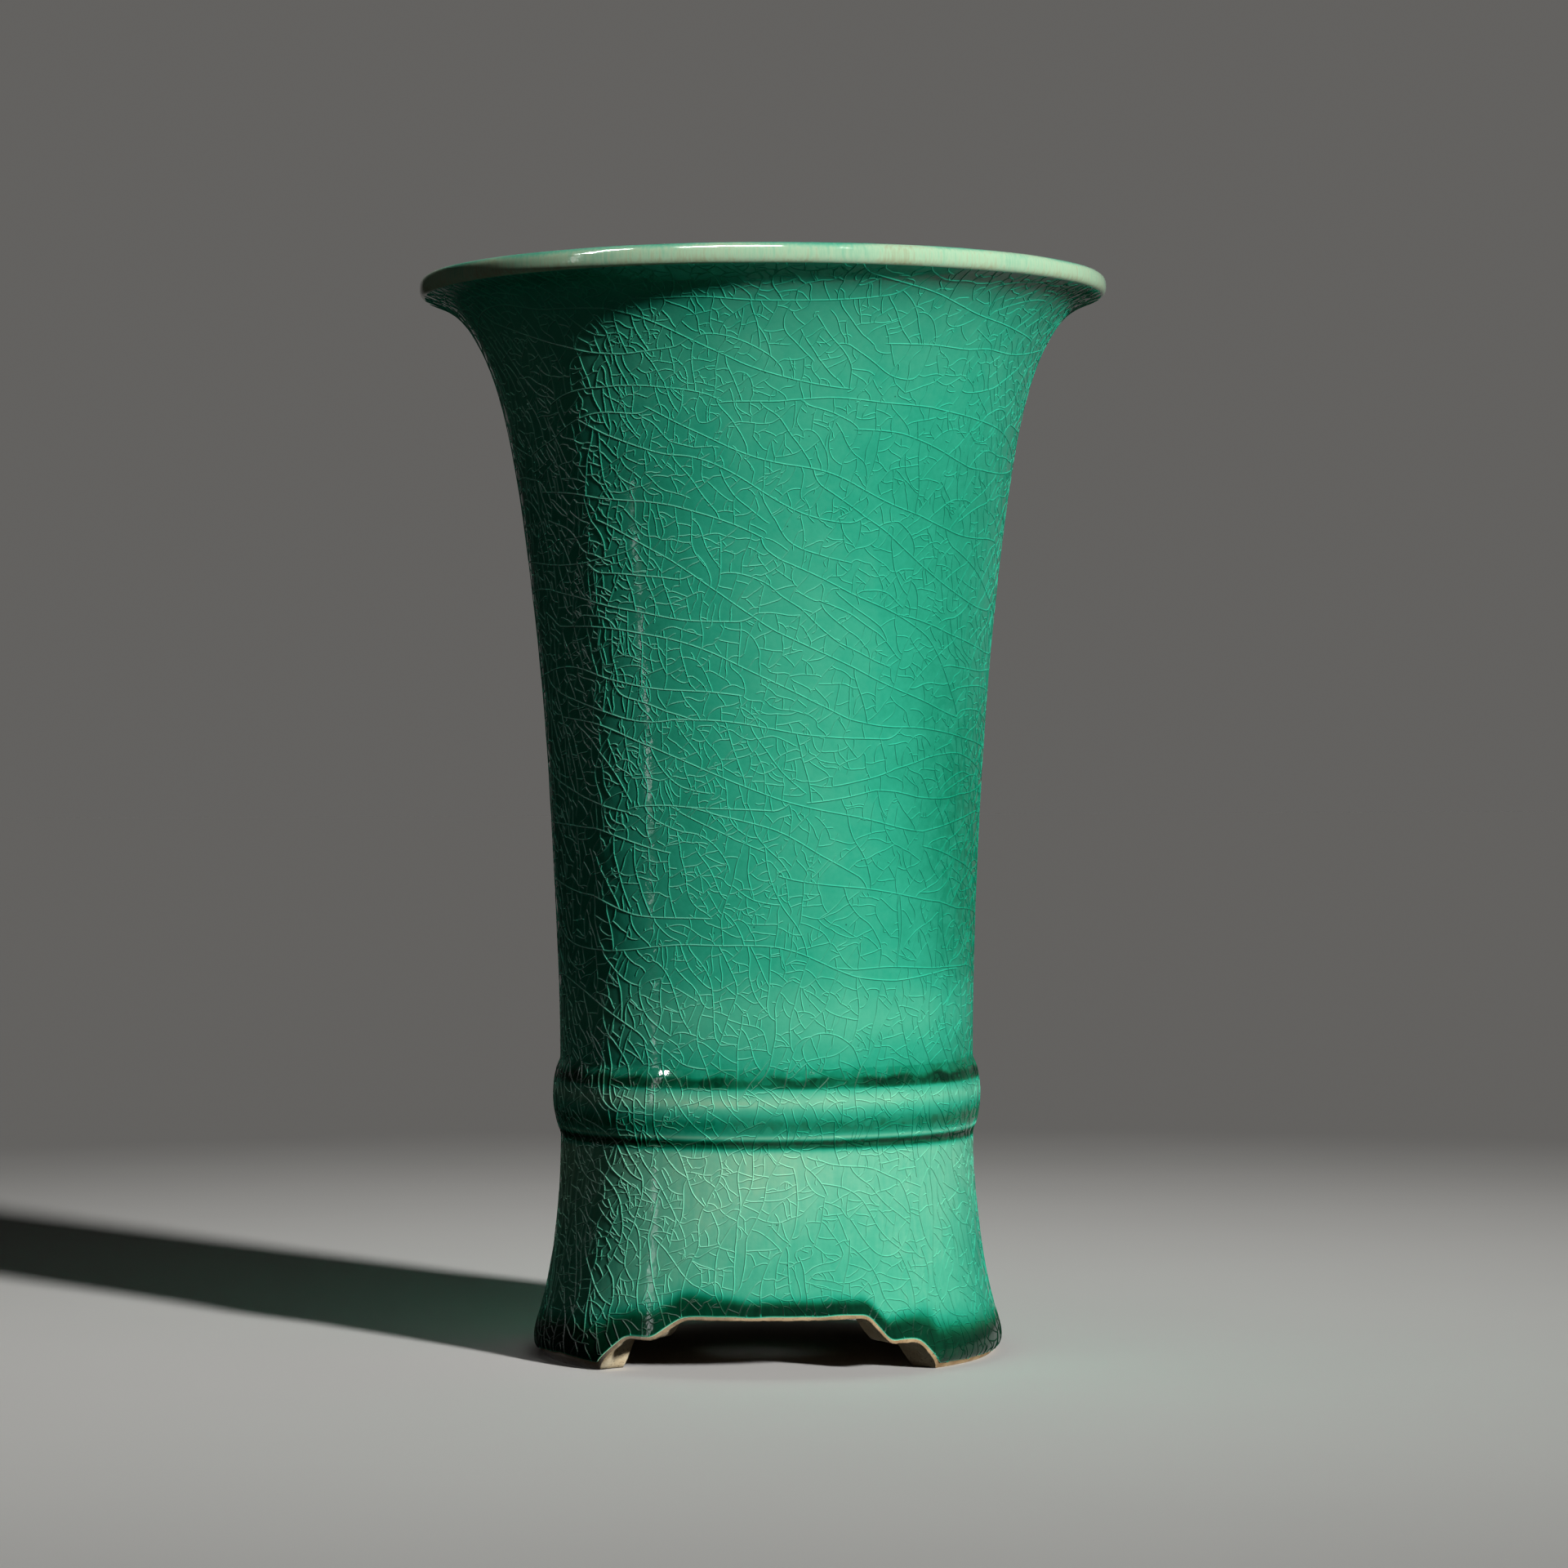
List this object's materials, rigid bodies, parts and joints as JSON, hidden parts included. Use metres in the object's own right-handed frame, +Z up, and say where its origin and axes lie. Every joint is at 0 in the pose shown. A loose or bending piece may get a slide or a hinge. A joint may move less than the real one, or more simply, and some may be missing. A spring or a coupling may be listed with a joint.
{
  "type": "orchid pot",
  "caption": "Tall trumpet-mouthed porcelain pot with a waist band, a splayed foot with two bracket-shaped notches, a drain hole and a crackled green glaze.",
  "frame": {"origin": "middle of the ring that the foot stands on, on the ground", "axes": "+Z up along the pot's axis; the two notches in the foot face -Y (front) and +Y (back); +X to the right seen from the front"},
  "size_m": [0.155, 0.155, 0.242],
  "materials": {
    "clay": "bare fired clay, pale buff, fine grained",
    "green_glaze": "gloss crackle glaze"
  },
  "bodies": {
    "root": {"trumpet_body": "clay", "foot_section": "clay", "waist_band": "clay", "floor_plate": "clay", "outer_glaze": "green_glaze", "inner_glaze": "green_glaze"}
  },
  "joints": []
}
